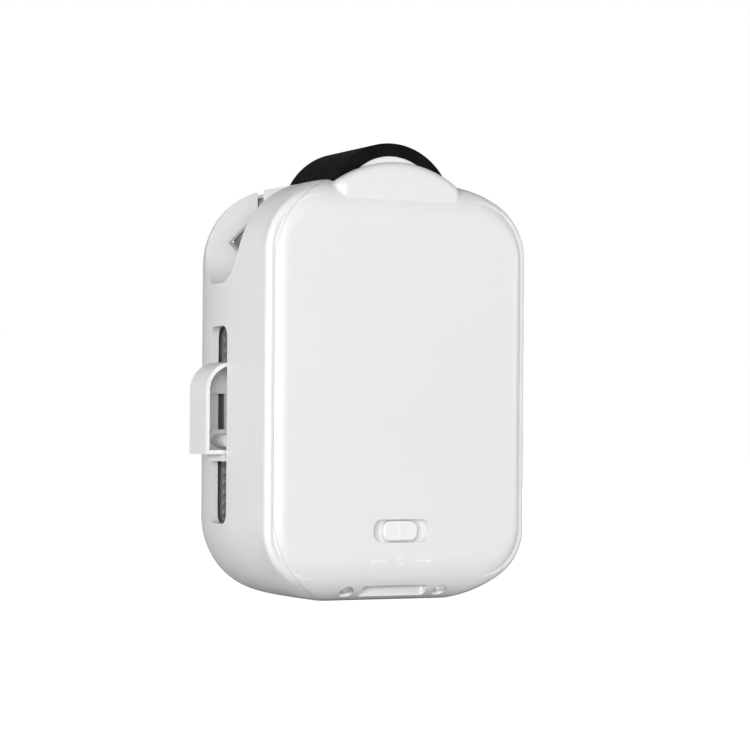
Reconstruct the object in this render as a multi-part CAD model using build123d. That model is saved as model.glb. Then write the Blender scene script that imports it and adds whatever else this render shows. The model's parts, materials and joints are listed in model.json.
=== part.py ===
from build123d import *
import os
from functools import cache
from math import acos, cos, pi, radians, sin, sqrt, tan

# A clip-on curtain motor: a rubber drive roller on top of a white battery body.
# Millimetres. X is to the right seen from the front, Y runs to the back, Z is up.
# Depths are measured from the front panel; y_at turns a depth into a Y coordinate.

# Body shell
wall = 2.0
shell_corner = 19.5
rear_start_depth = 20.0
rear_round_width = 8.5
rear_edge = 1.0
rim_round = 1.9
rim_start = 25.0
ear_rise = 0.6
top_above_roller = 7.6

# Front cover
cover_corner = 20.7
edge_round = 4.2
edge_inset = 3.1
bottom_round = 11.0
top_round = 9.0
strip_half_width = 20.5
strip_depth = 16.0
skirt_depth = 6.0
skirt_wall = 1.6
seam_gap = 0.08
fit = 0.15

# Boss on the cover in front of the roller
boss_radius = 27.0
boss_top_rise = 12.1
boss_half_width = 16.4
boss_front_depth = 1.0
boss_thickness = 4.7
boss_foot = 1.2
boss_round = 2.4
boss_corner = 3.0

# Drive roller
roller_radius = 17.0
roller_front_depth = 6.2
roller_length = 27.6
tyre_bore = 13.8
tyre_edge = 0.5
hub_rib_count = 5
hub_wall = 2.0
hub_recess = 0.25
roller_gap = 0.8
axle_radius = 2.0
running_gap = 0.04
bearing_radius = 4.5
bearing_width = 4.0
hub_boss_radius = 7.0

# Gear train
gear_module = 0.8
gear_face = 2.4
hub_teeth = 30
idler_teeth = 18
pinion_teeth = 12
addendum = 0.9
dedendum = 1.25
pressure_angle = 20.0
gear_backlash = 0.12
centre_play = 0.06
gear_front_gap = 0.8
idler_pin_radius = 1.5
idler_head_radius = 2.1
idler_head_height = 0.45
shaft_radius = 1.5

# Motor
motor_radius = 8.0
motor_length = 14.4
motor_flat = 1.0
motor_nose_radius = 2.7
motor_nose_height = 0.8
gearbox_length = 12.2
gearbox_nose_radius = 3.0
gearbox_nose_height = 0.4
band_width = 0.5
band_depth = 0.25

# Rear pocket and bearing tower
pocket_front_depth = 18.5
pocket_clearance = 1.4
pocket_floor_rise = 1.1
pocket_corner = 11.5
tower_wall = 1.6
bearing_plate = 1.6
bearing_plate_gap = 0.4
gear_hood_wall = 1.3
gear_gap = 0.6

# Side slots, racks and release tabs
slot_front_gap = 0.6
slot_rack_show = 0.6
slot_bottom_share = 0.1454
slot_top_gap = 1.3
slot_corner = 2.8
rack_side_gap = 2.6
rack_width = 2.2
rack_gap = 1.0
rack_depth = 6.0
rack_pitch = 2.5
rack_tooth = 1.3
rack_flat = 0.5
rack_end_margin = 1.2
rack_rib = 2.0
tab_front_gap = 0.8
tab_width = 10.3
tab_reach = 5.1
tab_bottom_share = 0.406
tab_top_share = 0.751
tab_corner = 7.0
tab_wall = 1.0
tab_rim = 0.4
tab_block_width = 3.4
tab_block_gap = 0.6
tab_window_height = 8.8
tab_window_drop = 0.8
tab_knob_rise = 3.3
tab_knob_front = 1.5
tab_knob_radius = 1.7
tab_foot_height = 1.7
tab_foot_inset = 1.0
tab_travel = 2.4
tab_pin_inset = 5.2
tab_pin_radius = 1.6
tab_pin_grip = 2.4
tab_pin_head = 3.0
tab_pin_head_height = 1.3
tab_pin_gap = 0.06
pawl_half_height = 1.3
spring_room = 5.5
spring_wire = 0.5
spring_radius = 2.6
spring_turns = 5

# Hook carriage and hook arms
carriage_thickness = 3.3
carriage_below_tab = 3.0
carriage_corner = 2.0
carriage_rise = 7.5
carriage_drop = 3.5
shoulder_drop = 3.0
slide_gap = 0.3
head_thickness = 8.4
head_above_pivot = 2.6
head_below_pivot = 7.5
head_margin = 1.0
head_set_in = 1.9
head_corner = 2.5
leg_thickness = 2.5
leg_margin = 3.2
leg_half_height = 7.0
arm_pivot_drop = 3.7
arm_gap = 0.4
arm_width = 3.0
arm_length = 15.1
arm_tilt = 45.5
arm_edge = 0.25
arm_eye_radius = 2.6
arm_head_gap = 0.74
arm_pin_radius = 1.6
arm_pin_head = 2.9
arm_pin_head_height = 1.0

# Cells and chassis
cell_radius = 9.1
cell_length = 65.0
cell_edge = 0.8
cell_board_gap = 0.9
cell_plate_gap = 0.3
cell_side_gap = 3.9
cell_top_gap = 3.1
cell_front_depth = 4.7
cell_bottom = 8.6
chassis_thickness = 2.0
collar_wall = 2.0
collar_length = 8.0
shelf_thickness = 1.1
shelf_set_back = 2.0
contact_size = 8.0
contact_thickness = 0.6
bay_wall = 1.4
bay_wall_gap = 0.9

# Board, switch, port, button and lens
board_depth = 6.0
board_thickness = 1.2
board_half_width = 9.8
board_foot_half_width = 13.3
board_foot_height = 2.8
board_bottom = 7.2
board_motor_gap = 3.08
board_post_radius = 2.6
low_post_rise = 18.8
high_post_drop = 7.0
module_width = 14.0
module_gap = 2.0
module_thickness = 2.0
charger_size = 3.0
charger_thickness = 1.0
lamp_size = 1.6
lamp_thickness = 0.8
tact_width = 3.0
tact_height = 2.0
tact_thickness = 2.4
part_rise = 0.5
switch_z = 17.0
switch_travel = 2.9
knob_length = 9.0
knob_height = 4.9
knob_corner = 1.9
knob_recess = 0.15
knob_round = 0.6
knob_rib_width = 0.9
knob_rib_height = 3.2
knob_flange = 0.8
knob_flange_height = 6.8
knob_pin_length = 2.0
knob_pin_height = 1.6
knob_pin_reach = 1.1
switch_body_length = 13.0
switch_body_height = 6.2
port_length = 17.5
port_width = 3.4
port_recess_top = 5.2
port_floor = 1.0
port_side = 2.5
socket_length = 9.0
socket_width = 3.2
socket_height = 7.3
socket_wall = 0.3
socket_back = 0.5
socket_rise = 0.4
tongue_width = 6.7
tongue_thickness = 0.7
hole_x = 12.5
hole_radius = 1.7
button_gap = 0.12
button_travel = 0.5
button_recess = 0.35
ear_half_width = 2.5
ear_depth = 1.4
ear_height = 0.7

# Screws
high_screw_drop = 7.7
low_screw_x = 20.0
low_screw_z = 12.0
screw_gap = 0.2
screw_radius = 1.25
screw_head_radius = 2.6
screw_head_height = 1.6
screw_head_inset = 0.2
screw_socket_radius = 1.1
screw_socket_depth = 0.7
screw_reach = 8.0
board_screw_reach = 6.0
board_screw_head = 2.0
post_radius = 2.6


def y_at(depth):
    """Y coordinate of a depth measured from the front panel."""
    return depth - body_depth / 2


def slab(x0, x1, d0, d1, z0, z1):
    """Box between two X values, two depths and two heights."""
    return Pos((x0 + x1) / 2, y_at((d0 + d1) / 2), (z0 + z1) / 2) * Box(x1 - x0, d1 - d0, z1 - z0)


def rod(x, z, d0, d1, radius):
    """Round bar along Y between two depths."""
    return Pos(x, y_at((d0 + d1) / 2), z) * Rot(X=90) * Cylinder(radius, d1 - d0)


def post(x, depth, z0, z1, radius):
    """Round bar along Z."""
    return Pos(x, y_at(depth), (z0 + z1) / 2) * Cylinder(radius, z1 - z0)


def cross_rod(x0, x1, depth, z, radius):
    """Round bar along X."""
    return Pos((x0 + x1) / 2, y_at(depth), z) * Rot(Y=90) * Cylinder(radius, abs(x1 - x0))


def front_plane(depth):
    """Plane across the body whose local X and Y are the part's X and Z."""
    return Plane(origin=(0, y_at(depth), 0), x_dir=(1, 0, 0), z_dir=(0, -1, 0))


def prism(sketch, d0, d1):
    """Front-view sketch (its X and Y are the part's X and Z) drawn out from d0 to d1."""
    return extrude(front_plane(d1) * sketch, amount=d1 - d0)


def side_prism(sketch, x0, x1):
    """Side-view sketch (its X and Y are the part's Y and Z) drawn out from x0 to x1."""
    plane = Plane(origin=(x0, 0, 0), x_dir=(0, 1, 0), z_dir=(1, 0, 0))
    return extrude(plane * sketch, amount=x1 - x0)


def bottom_inset(depth, radius=bottom_round):
    """How far a rounded front edge of this radius stands in at a depth."""
    reach = max(radius - depth, 0.0)
    return radius - sqrt(radius**2 - reach**2)


def corner_radius(full, side, end):
    """Corner radius of a section inset by side and end, so that its corner
    stays on the round corner of the full outline."""
    u = full - side
    v = full - end
    limit = full - min(side, end)
    k = 1 - 1 / sqrt(2)
    return (u + v - sqrt(2 * limit**2 - (u - v) ** 2)) / (2 * k)


def outline(half_width, z0, z1, low, high):
    """Upright rounded rectangle with its own radius at the low and high corners."""
    w = half_width
    k = 1 - 1 / sqrt(2)
    left_low, right_low = (-w, z0 + low), (w, z0 + low)
    left_high, right_high = (-w, z1 - high), (w, z1 - high)
    edges = [
        Line((-w + low, z0), (w - low, z0)),
        ThreePointArc((w - low, z0), (w - k * low, z0 + k * low), right_low),
        Line(right_low, right_high),
        ThreePointArc(right_high, (w - k * high, z1 - k * high), (w - high, z1)),
        Line((w - high, z1), (-w + high, z1)),
        ThreePointArc((-w + high, z1), (-w + k * high, z1 - k * high), left_high),
        Line(left_high, left_low),
        ThreePointArc(left_low, (-w + k * low, z0 + k * low), (-w + low, z0)),
    ]
    return make_face(edges)


def front_section(depth, side, shrink=0.0):
    """Section of the rounded front of the body at a depth, its sides set in."""
    low = bottom_inset(depth)
    high = bottom_inset(depth, top_round)
    face = outline(
        shell_half_width - side - shrink,
        low + shrink,
        shell_top - high - shrink,
        corner_radius(shell_corner, side, low) - shrink,
        corner_radius(shell_corner, side, high) - shrink,
    )
    return front_plane(depth) * face


def spread(first, last, count):
    """Evenly spaced values from first to last."""
    return [first + (last - first) * i / (count - 1) for i in range(count)]


def front_depth(angle):
    """Depth of the bottom rounding at an angle from the front panel."""
    return bottom_round * (1 - cos(radians(angle)))


seam_depth = edge_round - sqrt(edge_round**2 - edge_inset**2)
seam_angle = acos(1 - seam_depth / bottom_round) * 180 / pi


def panel_inset(depth):
    """Side inset of the front panel where its edge is rounded."""
    reach = sqrt(max(edge_round**2 - (edge_round - depth) ** 2, 0.0))
    return rim_round + max(edge_inset - reach, 0.0)


def rim_inset(depth):
    """Side inset of the flanks where their front rim is rounded."""
    reach = max(rim_round * cos(radians(rim_start)) - (depth - seam_depth), 0.0)
    return rim_round - sqrt(max(rim_round**2 - reach**2, 0.0))


def rear_inset(depth):
    """Side inset of the flanks towards the back, a quarter of an ellipse."""
    share = max(depth - rear_start_depth, 0.0) / (body_depth - rear_start_depth + rear_edge)
    return rear_round_width * (1 - sqrt(1 - share**2))


def shell_section(depth, shrink=0.0):
    """Section of the body behind the rounded front."""
    rise = ear_rise * max(depth - rear_start_depth, 0.0) / (pocket_back_depth - rear_start_depth)
    width = shell_half_width - rear_inset(depth) - shrink
    radius = shell_corner - shrink
    face = outline(width, shrink, shell_top + min(rise, ear_rise) - shrink, radius, radius)
    return front_plane(depth) * face


@cache
def body_form(shrink=0.0):
    """Outer form of the whole body, or its hollow when it is shrunk by the wall."""
    panel_depths = [front_depth(a) for a in spread(0.0, seam_angle, 5)]
    panel = loft([front_section(d, panel_inset(d), shrink) for d in panel_depths])
    rim_angles = [radians(a) for a in spread(rim_start, 90.0, 5)]
    rim_depths = [seam_depth + rim_round * (cos(rim_angles[0]) - cos(a)) for a in rim_angles]
    rim_end = acos(1 - rim_depths[-1] / bottom_round) * 180 / pi
    rim = loft([front_section(d, rim_inset(d), shrink) for d in rim_depths])
    side_depths = [rim_depths[-1]] + [front_depth(a) for a in spread(rim_end, 90.0, 6)[1:]]
    sides = loft([front_section(d, 0.0, shrink) for d in side_depths])
    front = Pos(0, shrink, 0) * (panel + rim + sides)
    steady_end = rear_start_depth - wall
    steady = extrude(shell_section(steady_end, shrink), amount=steady_end - bottom_round - shrink)
    last = body_depth - shrink
    tail_depths = [steady_end, rear_start_depth] + spread(rear_start_depth + 2 * wall, last, 8)
    return front + steady + loft([shell_section(d, shrink) for d in tail_depths])


def cover_zone(grow=0.0):
    """Space of the front cover: a round-cornered block and the strip over top and bottom."""
    corner = cover_corner + grow
    block = outline(cover_half_width + grow, -grow, shell_top + grow, corner, corner)
    half = strip_half_width + grow
    strip = slab(-half, half, -wall, strip_depth + grow, -wall, far)
    return prism(block, -wall, skirt_depth + grow) + strip


# Sizes worked out from the ones above
cell_x = board_half_width + cell_board_gap + cell_radius
cell_depth = cell_front_depth + cell_radius
cell_top = cell_bottom + cell_length
chassis_depth = cell_depth + cell_radius + cell_plate_gap
chassis_back = chassis_depth + chassis_thickness
shell_half_width = cell_x + cell_radius + cell_side_gap + wall
cover_half_width = shell_half_width - rim_round
pocket_floor = cell_top + cell_top_gap
roller_z = pocket_floor - pocket_floor_rise + roller_gap + roller_radius
shell_top = roller_z + top_above_roller
roller_back = roller_front_depth + roller_length
hub_front = roller_front_depth + hub_recess
gear_start = roller_back + gear_front_gap
gear_end = gear_start + gear_face
plate_start = gear_end + bearing_plate_gap
plate_end = plate_start + bearing_plate
arm_front = plate_end + arm_head_gap + arm_pin_head_height + 2 * seam_gap
arm_back = arm_front + arm_width
arm_depth = (arm_front + arm_back) / 2
head_front_depth = arm_back + arm_gap
carriage_back = head_front_depth + head_thickness
carriage_depth = carriage_back - carriage_thickness
rear_inner = carriage_back + slide_gap
body_depth = rear_inner + wall
pocket_back_depth = carriage_depth - pocket_clearance - wall
boss_back_depth = boss_front_depth + boss_thickness
boss_centre_z = roller_z + boss_top_rise - boss_radius
hub_pitch = gear_module * hub_teeth / 2
idler_pitch = gear_module * idler_teeth / 2
pinion_pitch = gear_module * pinion_teeth / 2
idler_z = roller_z - hub_pitch - idler_pitch - centre_play
motor_z = idler_z - idler_pitch - pinion_pitch - centre_play
gearbox_back = roller_back
motor_back = gearbox_back - gearbox_length
motor_front_depth = motor_back - motor_length
tower_half_width = roller_radius + roller_gap + tower_wall
tab_front_depth = chassis_back + tab_front_gap
tab_back_depth = tab_front_depth + tab_width
tab_bottom = cell_bottom + tab_bottom_share * cell_length
tab_top = cell_bottom + tab_top_share * cell_length
tab_pin_depth = tab_front_depth + tab_pin_inset
tab_pin_z = (tab_bottom + tab_top) / 2
tab_outer_x = shell_half_width + tab_reach
rack_outer_x = shell_half_width - wall - rack_side_gap
rack_inner_x = rack_outer_x - rack_width
rack_front_depth = tab_back_depth + rack_gap
rack_back_depth = rack_front_depth + rack_depth
tab_block_x = rack_outer_x + tab_block_gap
tab_inner_x = tab_block_x - tab_block_width
slot_front_depth = tab_front_depth - slot_front_gap
slot_back_depth = rack_front_depth + slot_rack_show
slot_bottom = cell_bottom + slot_bottom_share * cell_length
slot_top = tab_top + carriage_rise + slot_top_gap
leg_outer_x = tab_inner_x - spring_room - tab_travel
leg_inner_x = leg_outer_x - leg_thickness
guide_x = leg_outer_x + slide_gap
bay_outer_x = leg_inner_x - tab_pin_head_height - tab_travel - bay_wall_gap
head_half_width = leg_outer_x - head_set_in
arm_pivot_x = head_half_width - arm_pin_radius - head_margin
arm_pivot_z = shell_top - arm_pivot_drop
head_top = arm_pivot_z + head_above_pivot
head_bottom = arm_pivot_z - head_below_pivot
carriage_shoulder = head_bottom - shoulder_drop
carriage_bottom = tab_bottom - carriage_below_tab
high_screw_x = guide_x + wall + screw_gap + post_radius
case_screw_places = ((high_screw_x, pocket_floor - high_screw_drop), (low_screw_x, low_screw_z))
board_back = board_depth + board_thickness
board_foot_top = board_bottom + board_foot_height
board_top = motor_z - motor_radius - board_motor_gap
board_post_z = (board_bottom + low_post_rise, board_top - high_post_drop)
module_height = board_post_z[1] - board_post_z[0] - 2 * (board_screw_head + module_gap)
port_depth = board_depth - socket_width / 2
socket_bottom = port_recess_top + socket_rise
switch_slot_length = knob_length + 2 * switch_travel
switch_slot_height = knob_height + 2 * slide_gap
knob_flange_front = wall + knob_recess
knob_flange_back = knob_flange_front + knob_flange
ear_bottom = port_recess_top + port_floor + seam_gap
far = 4 * body_depth


def pocket_profile(grow=0.0):
    """Side view of the rear pocket, a U with round bottom corners, open at the top."""
    front, back = y_at(pocket_front_depth - grow), y_at(pocket_back_depth + grow)
    floor = pocket_floor - grow
    r = pocket_corner + grow
    k = r * (1 - 1 / sqrt(2))
    top = shell_top + far
    edges = [
        Line((front, top), (front, floor + r)),
        ThreePointArc((front, floor + r), (front + k, floor + k), (front + r, floor)),
        Line((front + r, floor), (back - r, floor)),
        ThreePointArc((back - r, floor), (back - k, floor + k), (back, floor + r)),
        Line((back, floor + r), (back, top)),
        Line((back, top), (front, top)),
    ]
    return make_face(edges)


def roller_well():
    """Free space around the turning roller."""
    return rod(0, roller_z, boss_back_depth, roller_back + gear_front_gap / 2, roller_radius + roller_gap)


def gear_space():
    """Space around the hub gear, the idler and the head of the idler's pin."""
    start = roller_back + gear_front_gap / 2
    hub = rod(0, roller_z, start, plate_start, hub_pitch + gear_module + gear_gap)
    idler_start = start - idler_head_height
    return hub + rod(0, idler_z, idler_start, plate_start, idler_pitch + gear_module + gear_gap)


def side_slot():
    """Long slot through both flanks for the release tabs."""
    length = slot_top - slot_bottom
    width = slot_back_depth - slot_front_depth
    centre_y = y_at((slot_front_depth + slot_back_depth) / 2)
    face = Pos(centre_y, (slot_bottom + slot_top) / 2) * RectangleRounded(width, length, slot_corner)
    left = side_prism(face, -far, -leg_outer_x - wall)
    return left + mirror(left, about=Plane.YZ)


def both_sides(x0, x1, d0, d1, z0, z1):
    """The same block on the right and on the left."""
    return slab(x0, x1, d0, d1, z0, z1) + slab(-x1, -x0, d0, d1, z0, z1)


def rear_shell():
    outer = body_form()
    hollow = body_form(wall)
    liner = side_prism(pocket_profile(wall), -far, far) & outer
    pocket = side_prism(pocket_profile(), -far, far)
    tower = slab(
        -tower_half_width, tower_half_width, pocket_front_depth - wall, plate_end, pocket_floor - wall, far
    )
    tower = tower & outer
    hood_radius = hub_pitch + gear_module + gear_gap + gear_hood_wall
    hood = rod(0, roller_z, roller_back + gear_front_gap / 2, plate_end, hood_radius)
    plate_width = idler_pitch + gear_module + gear_gap + gear_hood_wall
    low_plate = slab(
        -plate_width, plate_width, plate_start, plate_end, idler_z - idler_pitch, pocket_floor
    )
    rib_start = rack_back_depth
    rib_end = rib_start + rack_rib
    ribs = both_sides(rack_inner_x, far, rib_start, rib_end, slot_bottom - wall, slot_top + wall)
    guide_low = carriage_bottom - carriage_drop
    guides = both_sides(guide_x, guide_x + wall, carriage_depth, body_depth, guide_low, carriage_shoulder)
    body = (outer - hollow - pocket) + (liner - pocket) + tower + hood + low_plate
    body += (ribs & outer) + (guides & outer)
    body -= roller_well() + gear_space()
    body -= rod(0, roller_z, plate_start - wall, plate_end + wall, axle_radius + running_gap / 2)
    body -= rod(0, idler_z, plate_start - wall, plate_end + wall, idler_pin_radius + running_gap / 2)
    body -= cover_zone(seam_gap)
    window_x = head_half_width + slide_gap
    window_z = head_bottom - carriage_drop - slide_gap
    body -= slab(-window_x, window_x, pocket_back_depth - wall, rear_inner, window_z, far)
    body -= side_slot()
    for x, z in case_screw_places:
        for side in (-1, 1):
            head_start = body_depth - screw_head_height
            body -= rod(side * x, z, rear_inner - wall, body_depth + wall, screw_radius + fit)
            body -= rod(side * x, z, head_start, body_depth + wall, screw_head_radius + fit)
    return body


def boss():
    """Half-round boss that hides the front of the roller."""
    low = shell_top - top_round - boss_corner
    high = boss_centre_z + boss_radius + wall
    window = Pos(0, (low + high) / 2) * Rectangle(2 * boss_half_width, high - low)
    face = (Pos(0, boss_centre_z) * Circle(boss_radius)) & window
    top_corners = face.vertices().group_by(Axis.Y)[-1]
    face = fillet(top_corners, boss_corner)
    block = prism(face, boss_front_depth, boss_back_depth)
    front = block.faces().sort_by(Axis.Y)[0]
    rim = [e for e in front.edges() if e.center().Z > low + wall]
    return fillet(rim, boss_round)


def port_block():
    """Solid ground inside the cover around the port, the button and the lens."""
    half = hole_x + port_side
    floor_depth = port_depth + port_width / 2 + port_floor
    return slab(-half, half, seam_depth, floor_depth, 0, port_recess_top + port_floor) & body_form()


def port_recess():
    """Recess in the bottom that leads to the socket, and the socket's mouth."""
    face = Pos(0, y_at(port_depth)) * RectangleRounded(port_length, port_width, port_width / 4)
    recess = extrude(Pos(0, 0, -wall) * face, amount=port_recess_top + wall)
    mouth = Pos(0, y_at(port_depth)) * RectangleRounded(
        socket_length + 2 * fit, socket_width + 2 * fit, socket_width / 3
    )
    return recess + extrude(mouth, amount=socket_bottom + socket_height + fit)


def panel_with_boss():
    """Solid front of the body with the boss on it, the boss's foot blended in."""
    form = body_form() & cover_zone()
    block = boss()
    joined = form + block
    edges = new_edges(form, block, combined=joined).filter_by(GeomType.BSPLINE)
    last = y_at(boss_back_depth) - seam_gap
    return fillet([e for e in edges if e.bounding_box().max.Y < last], boss_foot)


def front_cover():
    corner = cover_corner - skirt_wall
    inner_half = cover_half_width - skirt_wall
    inner = prism(outline(inner_half, skirt_wall, shell_top - skirt_wall, corner, corner), -wall, far)
    block = outline(cover_half_width, 0, shell_top, cover_corner, cover_corner)
    skirt = (prism(block, seam_depth, skirt_depth) - inner) & body_form()
    cover = panel_with_boss() - (body_form(wall) - boss()) + skirt + port_block()
    cover -= roller_well()
    cover -= rod(0, roller_z, boss_back_depth - wall, roller_back, axle_radius + running_gap / 2)
    switch_slot = RectangleRounded(switch_slot_length, switch_slot_height, knob_corner + slide_gap)
    cover -= prism(Pos(0, switch_z) * switch_slot, -wall, 2 * wall)
    cover -= port_recess()
    for side in (-1, 1):
        cover -= post(side * hole_x, port_depth, -wall, board_foot_top, hole_radius)
    return cover


def gear(teeth, z, bore):
    """Spur gear with involute flanks; tooth centres start straight down."""
    pitch = gear_module * teeth / 2
    base = pitch * cos(radians(pressure_angle))
    tip = pitch + addendum * gear_module
    root = pitch - dedendum * gear_module
    involute = tan(radians(pressure_angle)) - radians(pressure_angle)
    half_tooth = pi / (2 * teeth) - gear_backlash / (2 * pitch) + involute
    start = max(base, root)
    points = []
    for i in range(teeth):
        centre = -pi / 2 + 2 * pi * i / teeth
        flank = []
        for radius in spread(start, tip, 5):
            roll = acos(min(base / radius, 1.0))
            flank.append((radius, half_tooth - (tan(roll) - roll)))
        low_side = [(root, half_tooth)] + flank
        for radius, angle in low_side:
            points.append((radius * cos(centre - angle), radius * sin(centre - angle)))
        for radius, angle in reversed(low_side):
            points.append((radius * cos(centre + angle), radius * sin(centre + angle)))
    face = make_face(Polyline(*points, close=True))
    body = prism(Pos(0, z) * face, gear_start, gear_end)
    return body - rod(0, z, gear_start - wall, gear_end + wall, bore)


def drive_tyre():
    tyre = rod(0, roller_z, roller_front_depth, roller_back, roller_radius)
    rims = tyre.edges().filter_by(GeomType.CIRCLE)
    tyre = fillet(rims, tyre_edge)
    return tyre - rod(0, roller_z, roller_front_depth - wall, roller_back + wall, tyre_bore)


def drive_hub():
    front = hub_front
    disc_back = front + hub_wall
    inner = tyre_bore - hub_wall
    hub = rod(0, roller_z, front, roller_back, tyre_bore)
    hub -= rod(0, roller_z, disc_back, roller_back + wall, inner)
    hub += rod(0, roller_z, front, gear_start, hub_boss_radius)
    hub += rod(0, roller_z, gear_start - wall, gear_end, hub_boss_radius - 1)
    for i in range(hub_rib_count):
        rib = slab(0, inner + hub_wall / 2, front, roller_back - hub_wall, -hub_wall / 2, hub_wall / 2)
        hub += Pos(0, 0, roller_z) * Rot(Y=360 * i / hub_rib_count) * rib
    hub -= rod(0, roller_z, front - wall, gear_end + wall, axle_radius + gear_gap)
    for first in (front, gear_end - bearing_width):
        hub -= rod(0, roller_z, first, first + bearing_width, bearing_radius)
    return hub


def axle_bearings():
    rings = Part()
    for first in (hub_front, gear_end - bearing_width):
        ring = rod(0, roller_z, first, first + bearing_width, bearing_radius)
        rings += ring - rod(0, roller_z, 0, body_depth, axle_radius + running_gap)
    return rings


def drive_axle():
    return rod(0, roller_z, boss_back_depth - wall + seam_gap, plate_end - seam_gap, axle_radius)


def hub_gear():
    return gear(hub_teeth, roller_z, hub_boss_radius - 1)


def idler_gear():
    turned = Pos(0, 0, idler_z) * Rot(Y=180 / idler_teeth) * Pos(0, 0, -idler_z)
    return turned * gear(idler_teeth, idler_z, idler_pin_radius + running_gap)


def idler_pin():
    head_back = gear_start - seam_gap
    head = rod(0, idler_z, head_back - idler_head_height, head_back, idler_head_radius)
    return head + rod(0, idler_z, head_back, plate_end - seam_gap, idler_pin_radius)


def motor_pinion():
    return gear(pinion_teeth, motor_z, shaft_radius)


def motor_shaft():
    return rod(0, motor_z, gearbox_back - bearing_width, gear_end + bearing_plate_gap, shaft_radius)


def motor_can():
    can = rod(0, motor_z, motor_front_depth, motor_back, motor_radius)
    flats = both_sides(motor_radius - motor_flat, far, 0, motor_back, 0, far)
    nose = rod(0, motor_z, motor_front_depth - motor_nose_height, motor_front_depth, motor_nose_radius)
    return can - flats + nose


def gearbox():
    box = rod(0, motor_z, motor_back, gearbox_back, motor_radius)
    band_start = gearbox_back - 2 * band_width
    band = rod(0, motor_z, band_start, band_start + band_width, motor_radius + wall)
    groove = band - rod(0, motor_z, motor_back, gearbox_back, motor_radius - band_depth)
    nose = rod(0, motor_z, gearbox_back, gearbox_back + gearbox_nose_height, gearbox_nose_radius)
    bore = rod(0, motor_z, gearbox_back - bearing_width, gearbox_back + wall, shaft_radius + running_gap / 2)
    return box - groove + nose - bore


def cell(side):
    body = post(side * cell_x, cell_depth, cell_bottom, cell_top, cell_radius)
    return fillet(body.edges().filter_by(GeomType.CIRCLE), cell_edge)


def cell_contacts():
    plates = Part()
    half = contact_size / 2
    for side in (-1, 1):
        for low in (cell_bottom - contact_thickness, cell_top):
            plates += slab(
                side * cell_x - half,
                side * cell_x + half,
                cell_depth - half,
                cell_depth + half,
                low,
                low + contact_thickness,
            )
    return plates


def chassis():
    low = cell_bottom - contact_thickness
    high = cell_top + contact_thickness
    base, top = low - shelf_thickness, high + shelf_thickness
    plate = slab(-rack_inner_x, rack_inner_x, chassis_depth, chassis_back, base, top)
    shelf_inner = cell_x - contact_size / 2
    shelf_outer = cell_x + cell_radius
    shelf_front = cell_depth - cell_radius + shelf_set_back
    shelves = both_sides(shelf_inner, shelf_outer, shelf_front, chassis_depth, base, low)
    shelves += both_sides(shelf_inner, shelf_outer, shelf_front, chassis_depth, high, top)
    frame = plate + shelves
    frame += rod(0, motor_z, chassis_depth, chassis_depth + collar_length, motor_radius + collar_wall)
    bay_back = carriage_depth - 2 * slide_gap
    bay_top = idler_z - idler_pitch - slide_gap
    frame += both_sides(bay_outer_x - bay_wall, bay_outer_x, chassis_depth, bay_back, slot_bottom, bay_top)
    for x, z in case_screw_places:
        for side in (-1, 1):
            frame += rod(side * x, z, chassis_depth, rear_inner - seam_gap, post_radius)
            frame -= rod(side * x, z, rear_inner - screw_reach - wall, rear_inner, screw_radius)
    frame = frame & body_form(wall + fit)
    tower_x = tower_half_width + fit
    tower_front = pocket_front_depth - wall - fit
    frame -= slab(-tower_x, tower_x, tower_front, body_depth, pocket_floor - wall - fit, far)
    for z in board_post_z:
        frame += rod(0, z, board_back, chassis_depth, board_post_radius)
        frame -= rod(0, z, board_back - wall, board_back + board_screw_reach + wall, screw_radius)
    frame -= rod(0, motor_z, motor_back, bay_back + wall, motor_radius + seam_gap)
    return frame


def main_board():
    half = board_half_width
    board = slab(-half, half, board_depth, board_back, board_bottom, board_top)
    foot = board_foot_half_width
    board += slab(-foot, foot, board_depth, board_back, board_bottom, board_foot_top)
    for z in board_post_z:
        board -= rod(0, z, board_depth - wall, board_back + wall, screw_radius + fit)
    return board


def board_screws():
    screws = Part()
    for z in board_post_z:
        shank = rod(0, z, board_depth, board_back + board_screw_reach, screw_radius)
        screws += shank + rod(0, z, board_depth - screw_head_height, board_depth, board_screw_head)
    return screws


def on_board(x, z, width, height, thickness):
    """Block that stands on the front face of the board."""
    x0, z0 = x - width / 2, z - height / 2
    return slab(x0, x0 + width, board_depth - thickness, board_depth, z0, z0 + height)


def board_parts():
    module_z = sum(board_post_z) / 2
    charger_x = board_half_width / 2
    charger_z = board_top - charger_size
    lamp_z = board_bottom + part_rise + lamp_size / 2
    tact_z = board_bottom + part_rise + tact_height / 2
    parts = on_board(0, module_z, module_width, module_height, module_thickness)
    parts += on_board(charger_x, charger_z, charger_size, charger_size, charger_thickness)
    parts += on_board(hole_x, lamp_z, lamp_size, lamp_size, lamp_thickness)
    return parts + on_board(-hole_x, tact_z, tact_width, tact_height, tact_thickness)


def usb_socket():
    centre = Pos(0, y_at(port_depth), socket_bottom)
    corner = socket_width / 3
    shell = extrude(centre * RectangleRounded(socket_length, socket_width, corner), amount=socket_height)
    mouth_length = socket_length - 2 * socket_wall
    mouth_width = socket_width - 2 * socket_wall
    mouth = centre * RectangleRounded(mouth_length, mouth_width, corner - socket_wall)
    shell -= extrude(mouth, amount=socket_height - socket_back)
    half = tongue_thickness / 2
    top = socket_bottom + socket_height - socket_back / 2
    front, back = port_depth - half, port_depth + half
    low = socket_bottom + socket_rise
    return shell + slab(-tongue_width / 2, tongue_width / 2, front, back, low, top)


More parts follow.
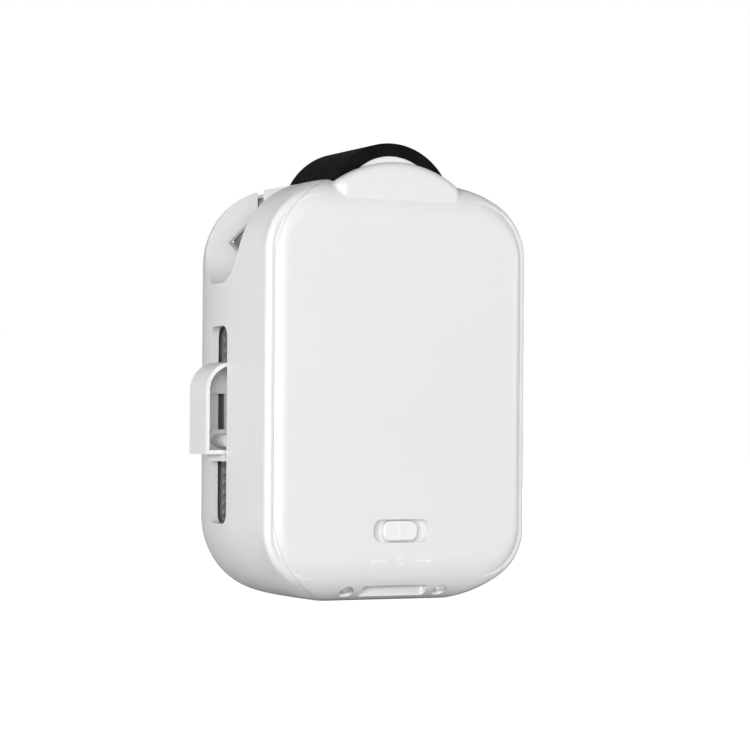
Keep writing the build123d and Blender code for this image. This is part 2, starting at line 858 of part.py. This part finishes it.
def switch_body():
    half = switch_body_length / 2
    front = knob_flange_back + slide_gap
    tall = switch_body_height / 2
    body = slab(-half, half, front, board_depth, switch_z - tall, switch_z + tall)
    run = knob_pin_length / 2 + switch_travel + slide_gap
    groove = knob_pin_height / 2 + slide_gap
    groove_back = front + knob_pin_reach + slide_gap
    return body - slab(-run, run, front - wall, groove_back, switch_z - groove, switch_z + groove)


def switch_knob():
    face = Pos(0, switch_z) * RectangleRounded(knob_length, knob_height, knob_corner)
    knob = prism(face, knob_recess, knob_flange_back)
    front = knob.faces().sort_by(Axis.Y)[0]
    knob = fillet(front.edges(), knob_round)
    rib_x, rib_z = knob_rib_width / 2, knob_rib_height / 2
    knob += slab(-rib_x, rib_x, 0, wall, switch_z - rib_z, switch_z + rib_z)
    half = switch_slot_length / 2 + switch_travel + slide_gap
    tall = knob_flange_height / 2
    knob += slab(-half, half, knob_flange_front, knob_flange_back, switch_z - tall, switch_z + tall)
    pin_x, pin_z = knob_pin_length / 2, knob_pin_height / 2
    pin_back = knob_flange_back + slide_gap + knob_pin_reach
    return knob + slab(-pin_x, pin_x, knob_flange_front, pin_back, switch_z - pin_z, switch_z + pin_z)


def stem_with_ears(x, top):
    """Round stem in a bottom hole, held by two ears above the port block."""
    low = bottom_inset(port_depth) + button_recess
    radius = hole_radius - button_gap
    stem = post(x, port_depth, low, ear_bottom + ear_height / 2, radius)
    ear_back, ear_top = port_depth + ear_depth, ear_bottom + ear_height
    stem += slab(x - ear_half_width, x + ear_half_width, port_depth, ear_back, ear_bottom, ear_top)
    half = radius / 2
    return stem + slab(x - half, x + half, port_depth - half, port_depth + half, ear_bottom, top)


def pairing_button():
    return stem_with_ears(-hole_x, board_bottom + part_rise - button_travel - seam_gap)


def indicator_lens():
    return stem_with_ears(hole_x, board_bottom + part_rise)


def rack_profile():
    """Side view of a rack: a bar with triangular teeth on its front edge."""
    low = slot_bottom - rack_end_margin
    high = slot_top + rack_end_margin
    count = int((high - low) / rack_pitch)
    front, back = y_at(rack_front_depth), y_at(rack_back_depth)
    valley = front + rack_tooth
    flat = rack_flat / 2
    points = [(back, low), (valley, low)]
    for i in range(count):
        middle = low + rack_pitch * (i + 0.5)
        points += [(front, middle - flat), (front, middle + flat), (valley, low + rack_pitch * (i + 1))]
    points += [(valley, high), (back, high)]
    return make_face(Polyline(*points, close=True))


def rack(side):
    left = side_prism(rack_profile(), -rack_outer_x, -rack_inner_x)
    return left if side < 0 else mirror(left, about=Plane.YZ)


def tab_profile(inset=0.0):
    """Front view of the left release tab with its rounded outer top corner."""
    x0, x1 = -tab_outer_x + inset, -tab_inner_x
    z0, z1 = tab_bottom + inset, tab_top - inset
    r = tab_corner - inset
    k = r * (1 - 1 / sqrt(2))
    edges = [
        Line((x1, z1), (x0 + r, z1)),
        ThreePointArc((x0 + r, z1), (x0 + k, z1 - k), (x0, z1 - r)),
        Line((x0, z1 - r), (x0, z0)),
        Line((x0, z0), (x1, z0)),
        Line((x1, z0), (x1, z1)),
    ]
    return make_face(edges)


def release_tab(side):
    web_front = tab_back_depth - tab_wall
    pocket = prism(tab_profile(tab_wall), tab_front_depth - wall, web_front)
    pocket &= slab(-far, -tab_block_x, 0, body_depth, 0, far)
    window_low = tab_pin_z - tab_window_drop - tab_window_height / 2
    window_outer = -shell_half_width - tab_rim
    window_high = window_low + tab_window_height
    window = slab(window_outer, -tab_block_x, web_front - wall, body_depth, window_low, window_high)
    tab = prism(tab_profile(), tab_front_depth, tab_back_depth) - pocket - window
    knob_x = (window_outer - tab_block_x) / 2
    knob_start = tab_front_depth + tab_knob_front
    tab += rod(knob_x, tab_bottom + tab_knob_rise, knob_start, web_front + seam_gap, tab_knob_radius)
    foot_front, foot_back = tab_front_depth + tab_foot_inset, tab_back_depth - tab_foot_inset
    tab += slab(window_outer, -tab_block_x, foot_front, foot_back, tab_bottom - tab_foot_height, tab_bottom)
    root = y_at(tab_back_depth - tab_rim)
    tooth = [
        (root, tab_pin_z - pawl_half_height),
        (y_at(rack_front_depth - slide_gap), tab_pin_z),
        (root, tab_pin_z + pawl_half_height),
    ]
    tab += side_prism(make_face(Polyline(*tooth, close=True)), -rack_outer_x, -rack_inner_x)
    tab -= cross_rod(-tab_inner_x - tab_pin_grip, 0, tab_pin_depth, tab_pin_z, tab_pin_radius)
    return tab if side < 0 else mirror(tab, about=Plane.YZ)


def tab_screw(side):
    head_outer = -leg_inner_x + seam_gap
    shank_outer = -tab_inner_x - tab_pin_grip
    shank = cross_rod(shank_outer, head_outer, tab_pin_depth, tab_pin_z, tab_pin_radius)
    head = cross_rod(head_outer, head_outer + tab_pin_head_height, tab_pin_depth, tab_pin_z, tab_pin_head)
    screw = shank + head
    return screw if side < 0 else mirror(screw, about=Plane.YZ)


def tab_spring(side):
    """Coil spring round the tab screw, drawn at its squeezed length."""
    start = leg_outer_x + seam_gap + spring_wire / 2
    end = tab_inner_x - tab_travel - seam_gap - spring_wire / 2
    path = Helix((end - start) / spring_turns, end - start, spring_radius)
    wire = Plane(origin=path @ 0, z_dir=path % 0) * Circle(spring_wire / 2)
    coil = Pos(-start, y_at(tab_pin_depth), tab_pin_z) * Rot(Y=-90) * sweep(wire, path)
    return coil if side < 0 else mirror(coil, about=Plane.YZ)


def hook_carriage():
    half = leg_outer_x
    plate = slab(-half, half, carriage_depth, carriage_back, carriage_bottom, carriage_shoulder)
    plate = fillet(plate.edges().filter_by(Axis.Y), carriage_corner)
    neck_low = carriage_shoulder - leg_half_height
    neck = slab(-head_half_width, head_half_width, carriage_depth, carriage_back, neck_low, head_top)
    head = slab(-head_half_width, head_half_width, head_front_depth, carriage_back, head_bottom, head_top)
    upper = neck + head
    corners = upper.edges().filter_by(Axis.Y).group_by(Axis.Z)[-1]
    body = plate + fillet(corners, head_corner)
    leg_front = tab_pin_depth - leg_margin
    leg_low, leg_high = tab_pin_z - leg_half_height, tab_pin_z + leg_half_height
    body += both_sides(leg_inner_x, leg_outer_x, leg_front, carriage_back, leg_low, leg_high)
    hole_radius = tab_pin_radius + tab_pin_gap
    for side in (-1, 1):
        inner, outer = side * (leg_inner_x - wall), side * (leg_outer_x + wall)
        body -= cross_rod(inner, outer, tab_pin_depth, tab_pin_z, hole_radius)
        pin_back = carriage_back - wall
        body -= rod(side * arm_pivot_x, arm_pivot_z, head_front_depth - wall, pin_back, arm_pin_radius)
    return body


def hook_arm(side):
    bar = Box(arm_width, arm_width, arm_length, align=(Align.CENTER, Align.CENTER, Align.MIN))
    bar = chamfer(bar.edges(), arm_edge)
    arm = Pos(-arm_pivot_x, y_at(arm_depth), arm_pivot_z) * Rot(Y=180 + arm_tilt) * bar
    arm += rod(-arm_pivot_x, arm_pivot_z, arm_front, arm_back, arm_eye_radius)
    bore = arm_pin_radius + running_gap
    arm -= rod(-arm_pivot_x, arm_pivot_z, arm_front - wall, arm_back + wall, bore)
    return arm if side < 0 else mirror(arm, about=Plane.YZ)


def arm_pins():
    pins = Part()
    for side in (-1, 1):
        x = side * arm_pivot_x
        head_back = arm_front - seam_gap * 2
        pins += rod(x, arm_pivot_z, head_back - arm_pin_head_height, head_back, arm_pin_head)
        pins += rod(x, arm_pivot_z, head_back, carriage_back - wall - seam_gap, arm_pin_radius)
    return pins


def case_screws():
    screws = Part()
    for x, z in case_screw_places:
        for side in (-1, 1):
            head_start, head_end = body_depth - screw_head_height, body_depth - screw_head_inset
            head = rod(side * x, z, head_start, head_end, screw_head_radius)
            socket = rod(side * x, z, head_end - screw_socket_depth, body_depth, screw_socket_radius)
            shank = rod(side * x, z, rear_inner - screw_reach, head_start, screw_radius)
            screws += head - socket + shank
    return screws


def write(name, part):
    """One STEP file for one named piece."""
    part.label = name
    export_step(part, "parts/" + name + ".step")


sides = {"left": -1, "right": 1}
single_pieces = {
    "front_cover": front_cover,
    "rear_shell": rear_shell,
    "chassis": chassis,
    "drive_tyre": drive_tyre,
    "drive_hub": drive_hub,
    "drive_axle": drive_axle,
    "axle_bearings": axle_bearings,
    "hub_gear": hub_gear,
    "idler_gear": idler_gear,
    "idler_pin": idler_pin,
    "motor_pinion": motor_pinion,
    "motor_shaft": motor_shaft,
    "motor_can": motor_can,
    "gearbox": gearbox,
    "cell_contacts": cell_contacts,
    "main_board": main_board,
    "board_parts": board_parts,
    "board_screws": board_screws,
    "usb_socket": usb_socket,
    "switch_body": switch_body,
    "switch_knob": switch_knob,
    "pairing_button": pairing_button,
    "indicator_lens": indicator_lens,
    "hook_carriage": hook_carriage,
    "arm_pins": arm_pins,
    "case_screws": case_screws,
}
paired_pieces = {
    "cell": cell,
    "rack": rack,
    "release_tab": release_tab,
    "tab_screw": tab_screw,
    "tab_spring": tab_spring,
    "hook_arm": hook_arm,
}


def build_all():
    os.makedirs("parts", exist_ok=True)
    for name, make in single_pieces.items():
        write(name, make())
    for name, make in paired_pieces.items():
        for word, side in sides.items():
            write(word + "_" + name, make(side))


build_all()
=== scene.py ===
import json
import math

import bmesh
import bpy
from mathutils import Matrix, Vector


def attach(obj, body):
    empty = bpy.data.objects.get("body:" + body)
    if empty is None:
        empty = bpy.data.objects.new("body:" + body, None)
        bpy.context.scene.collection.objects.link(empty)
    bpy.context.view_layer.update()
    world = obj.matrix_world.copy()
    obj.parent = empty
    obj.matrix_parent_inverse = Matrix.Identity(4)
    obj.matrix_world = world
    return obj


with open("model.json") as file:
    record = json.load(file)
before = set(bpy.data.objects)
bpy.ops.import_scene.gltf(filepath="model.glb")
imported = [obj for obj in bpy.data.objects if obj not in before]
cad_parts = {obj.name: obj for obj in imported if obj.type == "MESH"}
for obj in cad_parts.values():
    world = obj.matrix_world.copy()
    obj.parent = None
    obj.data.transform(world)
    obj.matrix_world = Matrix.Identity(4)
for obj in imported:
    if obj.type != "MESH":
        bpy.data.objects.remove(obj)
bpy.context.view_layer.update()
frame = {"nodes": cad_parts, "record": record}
nodes = frame["nodes"]

# Metres. X runs to the right seen from the front, Y to the back and Z up.
BODY_DEPTH = 0.055
FRONT_Y = -BODY_DEPTH / 2


# Materials

# Colours and roughness run between these two noise values
NOISE_LOW = 0.3
NOISE_HIGH = 0.7
TONE_DETAIL = 4.0
PATCH_DETAIL = 3.0
GRAIN_DETAIL = 2.0
PATCHES_PER_TONE = 4


def link(tree, source, target):
    tree.links.new(source, target)


def noise(tree, coords, scale, detail, stretch):
    """Noise in object space, stretched along the axes for brushed or drawn surfaces."""
    mapping = tree.nodes.new("ShaderNodeMapping")
    mapping.inputs["Scale"].default_value = stretch
    texture = tree.nodes.new("ShaderNodeTexNoise")
    texture.inputs["Scale"].default_value = scale
    texture.inputs["Detail"].default_value = detail
    link(tree, coords, mapping.inputs["Vector"])
    link(tree, mapping.outputs["Vector"], texture.inputs["Vector"])
    return texture.outputs["Fac"]


def spread_value(tree, source, low, high):
    """The noise value mapped to low..high."""
    node = tree.nodes.new("ShaderNodeMapRange")
    node.inputs["From Min"].default_value = NOISE_LOW
    node.inputs["From Max"].default_value = NOISE_HIGH
    node.inputs["To Min"].default_value = low
    node.inputs["To Max"].default_value = high
    link(tree, source, node.inputs["Value"])
    return node.outputs["Result"]


def material(name, colour, rough, metallic=0.0, vary=0.02, rough_vary=0.05, grain=2500.0, bump=0.05,
             height=0.00002, stretch=(1, 1, 1), tone_scale=60.0, specular=0.5, coat=0.0,
             transmission=0.0):
    """Procedural finish: broad tone variation, roughness variation and a fine grain."""
    mat = bpy.data.materials.new(name)
    mat.use_nodes = True
    tree = mat.node_tree
    shader = tree.nodes["Principled BSDF"]
    shader.inputs["Metallic"].default_value = metallic
    shader.inputs["Specular IOR Level"].default_value = specular
    shader.inputs["Coat Weight"].default_value = coat
    shader.inputs["Transmission Weight"].default_value = transmission
    coords = tree.nodes.new("ShaderNodeTexCoord").outputs["Object"]
    tone = noise(tree, coords, tone_scale, TONE_DETAIL, stretch)
    ramp = tree.nodes.new("ShaderNodeValToRGB")
    ramp.color_ramp.elements[0].position = NOISE_LOW
    ramp.color_ramp.elements[1].position = NOISE_HIGH
    ramp.color_ramp.elements[0].color = [c * (1 - vary) for c in colour] + [1]
    ramp.color_ramp.elements[1].color = [min(c * (1 + vary), 1) for c in colour] + [1]
    link(tree, tone, ramp.inputs["Fac"])
    link(tree, ramp.outputs["Color"], shader.inputs["Base Color"])
    patch = noise(tree, coords, tone_scale * PATCHES_PER_TONE, PATCH_DETAIL, stretch)
    patch_rough = spread_value(tree, patch, rough - rough_vary, rough + rough_vary)
    link(tree, patch_rough, shader.inputs["Roughness"])
    fine = noise(tree, coords, grain, GRAIN_DETAIL, stretch)
    relief = tree.nodes.new("ShaderNodeBump")
    relief.inputs["Strength"].default_value = bump
    relief.inputs["Distance"].default_value = height
    link(tree, fine, relief.inputs["Height"])
    link(tree, relief.outputs["Normal"], shader.inputs["Normal"])
    return mat


mats = {
    "white_case": material("white_case", (0.83, 0.83, 0.835), 0.42, vary=0.006, rough_vary=0.03,
                           bump=0.12),
    "knob_white": material("knob_white", (0.9, 0.9, 0.9), 0.35, vary=0.006, bump=0.1),
    # Grey plastic, darkened well past its own grey as painted shade: the parts seen deep inside the
    # slots render as dark as the shade in there
    "grey_plastic": material("grey_plastic", (0.3, 0.305, 0.31), 0.45, vary=0.03, bump=0.15),
    "hub_plastic": material("hub_plastic", (0.86, 0.86, 0.85), 0.3, vary=0.02, bump=0.08),
    "tyre_rubber": material("tyre_rubber", (0.006, 0.006, 0.0065), 0.55, vary=0.3, rough_vary=0.08,
                            grain=900.0, bump=0.25, tone_scale=150.0, specular=0.06),
    "legend_white": material("legend_white", (0.95, 0.95, 0.95), 0.4, vary=0.006, bump=0.05),
    "gear_plastic": material("gear_plastic", (0.82, 0.81, 0.76), 0.4, vary=0.03),
    "brass": material("brass", (0.72, 0.5, 0.2), 0.25, metallic=1.0, vary=0.06, stretch=(1, 6, 1)),
    "steel": material("steel", (0.6, 0.6, 0.61), 0.3, metallic=1.0, vary=0.08, grain=1800.0, bump=0.2,
                      stretch=(1, 0.1, 1)),
    "polished_steel": material("polished_steel", (0.4, 0.4, 0.41), 0.12, metallic=1.0, vary=0.04,
                               bump=0.05),
    "cell_wrap": material("cell_wrap", (0.05, 0.2, 0.42), 0.3, vary=0.06, coat=0.3),
    "board": material("board", (0.02, 0.16, 0.07), 0.35, vary=0.15, tone_scale=700.0, coat=0.3),
    "board_black": material("board_black", (0.03, 0.03, 0.032), 0.45, vary=0.2),
    "light_guide": material("light_guide", (0.9, 0.92, 0.95), 0.15, vary=0.01, transmission=0.5),
}

# Each CAD piece has its slot's material, except the knob, which is a brighter white
slots = {part["node"]: part["material_slot"] for part in frame["record"]["subparts"]}
special = {"switch_knob": "knob_white"}
for name, obj in nodes.items():
    chosen = mats[special.get(name, slots[name])]
    obj.data.materials.clear()
    obj.data.materials.append(chosen)


# Raised marks under the switch: an arrow to each side and a ring between them

BOTTOM_ROUND = 0.011
MARK_RAISE = 0.00008
MARK_SINK = 0.0002
MARK_Z = 0.0098
ARROW_X = 0.006
ARROW_TIP = 0.0021
ARROW_NECK = 0.0011
ARROW_HALF_WIDTH = 0.00016
ARROW_WING = 0.00055
RING_RADIUS = 0.0009
RING_WIDTH = 0.0003
RING_STRIPS = 24


def front_y(z):
    """Y of the cover's front at a height in its lower rounding."""
    reach = max(BOTTOM_ROUND - z, 0.0)
    return FRONT_Y + BOTTOM_ROUND - math.sqrt(BOTTOM_ROUND**2 - reach**2)


def raised_mark(name, outlines):
    """Flat outlines (x, z) raised a little from the cover."""
    mesh = bmesh.new()
    for points in outlines:
        front = [mesh.verts.new((x, front_y(z) - MARK_RAISE, z)) for x, z in points]
        back = [mesh.verts.new((x, front_y(z) + MARK_SINK, z)) for x, z in points]
        mesh.faces.new(front)
        mesh.faces.new(back[::-1])
        for i in range(len(points)):
            j = (i + 1) % len(points)
            mesh.faces.new((front[i], back[i], back[j], front[j]))
    bmesh.ops.recalc_face_normals(mesh, faces=mesh.faces)
    data = bpy.data.meshes.new(name)
    mesh.to_mesh(data)
    mesh.free()
    mark = bpy.data.objects.new(name, data)
    bpy.context.collection.objects.link(mark)
    data.materials.append(mats["legend_white"])
    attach(mark, "housing")


def arrow(centre, sign):
    """Outline of an arrow that points to the side of sign."""
    tail, neck, tip = -ARROW_TIP, ARROW_NECK, ARROW_TIP
    half, wing = ARROW_HALF_WIDTH, ARROW_WING
    shape = [(tail, -half), (neck, -half), (neck, -wing), (tip, 0),
             (neck, wing), (neck, half), (tail, half)]
    return [(centre + sign * x, MARK_Z + z) for x, z in shape]


def ring_strips(radius, width, count):
    """A ring as short four-sided strips."""
    inner, outer = radius - width / 2, radius + width / 2
    strips = []
    for i in range(count):
        a, b = 2 * math.pi * i / count, 2 * math.pi * (i + 1) / count
        corners = [(inner, a), (outer, a), (outer, b), (inner, b)]
        strips.append([(r * math.cos(t), MARK_Z + r * math.sin(t)) for r, t in corners])
    return strips


raised_mark("arrow_left", [arrow(-ARROW_X, -1)])
raised_mark("arrow_right", [arrow(ARROW_X, 1)])
raised_mark("mark_ring", ring_strips(RING_RADIUS, RING_WIDTH, RING_STRIPS))


# Floor and background

FLOOR_SIZE = 6.0
FLOOR_SEEN = 0.8
FLOOR_LIT = 0.5
FLOOR_GLOW = 0.9
WORLD_SEEN = 1.0
WORLD_LIT = 0.2


def grey(tree, kind, level, strength=None):
    """A shader node in a shade of grey."""
    node = tree.nodes.new(kind)
    node.inputs["Color"].default_value = (level, level, level, 1)
    if strength is not None:
        node.inputs["Strength"].default_value = strength
    return node


def seen_or_lit(tree, seen, lit, output):
    """One shader for camera and transmission rays, the other for all else, reflections too."""
    path = tree.nodes.new("ShaderNodeLightPath")
    ray = tree.nodes.new("ShaderNodeMath")
    ray.operation = "MAXIMUM"
    link(tree, path.outputs["Is Camera Ray"], ray.inputs[0])
    link(tree, path.outputs["Is Transmission Ray"], ray.inputs[1])
    mix = tree.nodes.new("ShaderNodeMixShader")
    link(tree, ray.outputs[0], mix.inputs["Fac"])
    link(tree, lit.outputs[0], mix.inputs[1])
    link(tree, seen.outputs[0], mix.inputs[2])
    out = tree.nodes.new(output)
    link(tree, mix.outputs[0], out.inputs["Surface"])


def stage_material(name, seen, lit):
    """Surface that the camera sees as white, and that lights the object as a plain grey one."""
    mat = bpy.data.materials.new(name)
    mat.use_nodes = True
    tree = mat.node_tree
    tree.nodes.clear()
    plain = grey(tree, "ShaderNodeBsdfDiffuse", lit)
    pale = grey(tree, "ShaderNodeBsdfDiffuse", seen)
    glow = grey(tree, "ShaderNodeEmission", 1, FLOOR_GLOW)
    both = tree.nodes.new("ShaderNodeAddShader")
    link(tree, pale.outputs[0], both.inputs[0])
    link(tree, glow.outputs[0], both.inputs[1])
    seen_or_lit(tree, both, plain, "ShaderNodeOutputMaterial")
    return mat


bpy.ops.mesh.primitive_plane_add(size=FLOOR_SIZE, location=(0, 0, 0))
floor = bpy.context.object
floor.name = "floor"
floor.data.materials.append(stage_material("floor_pale", FLOOR_SEEN, FLOOR_LIT))

world = bpy.data.worlds.new("studio")
bpy.context.scene.world = world
world.use_nodes = True
sky = world.node_tree
sky.nodes.clear()
soft = grey(sky, "ShaderNodeBackground", 1, WORLD_LIT)
bright = grey(sky, "ShaderNodeBackground", 1, WORLD_SEEN)
seen_or_lit(sky, bright, soft, "ShaderNodeOutputWorld")


# Lights

LIGHT_TARGET = Vector((0, 0, 0.05))

# Place, width and height in metres, power in watts
LIGHTS = {
    "key": ((-0.62, -0.79, 0.11), (0.8, 0.3), 9.3),
    "side": ((-1.0, -0.1, 0.11), (0.5, 0.3), 3.1),
    "fill": ((0.95, -0.5, 0.12), (0.6, 0.36), 5.2),
    "back": ((0.85, 0.9, 0.15), (0.6, 0.4), 4.5),
}


def area(name, place, size, power):
    """Soft box that looks at the object."""
    data = bpy.data.lights.new(name, "AREA")
    data.shape = "RECTANGLE"
    data.size, data.size_y = size
    data.energy = power
    light = bpy.data.objects.new(name, data)
    light.location = place
    light.rotation_euler = (LIGHT_TARGET - Vector(place)).to_track_quat("-Z", "Y").to_euler()
    bpy.context.collection.objects.link(light)


for name, (place, size, power) in LIGHTS.items():
    area(name, place, size, power)


# Camera: to the left of the front, level, with a long lens

CAMERA_AZIMUTH = math.radians(27.0)
CAMERA_ROLL = math.radians(0.4)
CAMERA_DISTANCE = 0.6
CAMERA_HEIGHT = 0.0402
CLIP_START = 0.05
SENSOR_MM = 36.0

# Pixels of the square photograph
PICTURE_PX = 750.0
FOCAL_PX = 2508.0
AXIS_X_PX = 402.0
HORIZON_PX = 434.0

camera_data = bpy.data.cameras.new("camera")
camera_data.sensor_width = SENSOR_MM
camera_data.lens = FOCAL_PX / PICTURE_PX * SENSOR_MM
camera_data.shift_x = (PICTURE_PX / 2 - AXIS_X_PX) / PICTURE_PX
camera_data.shift_y = (HORIZON_PX - PICTURE_PX / 2) / PICTURE_PX
camera_data.clip_start = CLIP_START
camera = bpy.data.objects.new("camera", camera_data)
forward = Vector((math.sin(CAMERA_AZIMUTH), math.cos(CAMERA_AZIMUTH), 0))
camera.location = Vector((0, FRONT_Y, CAMERA_HEIGHT)) - CAMERA_DISTANCE * forward
right = Vector((math.cos(CAMERA_AZIMUTH), -math.sin(CAMERA_AZIMUTH), 0))
turn = Matrix((right, Vector((0, 0, 1)), -forward)).transposed()
roll = Matrix.Rotation(CAMERA_ROLL, 3, "Z")
camera.rotation_euler = (turn @ roll).to_euler()
bpy.context.collection.objects.link(camera)
bpy.context.scene.camera = camera

bpy.context.scene.view_settings.view_transform = "Standard"
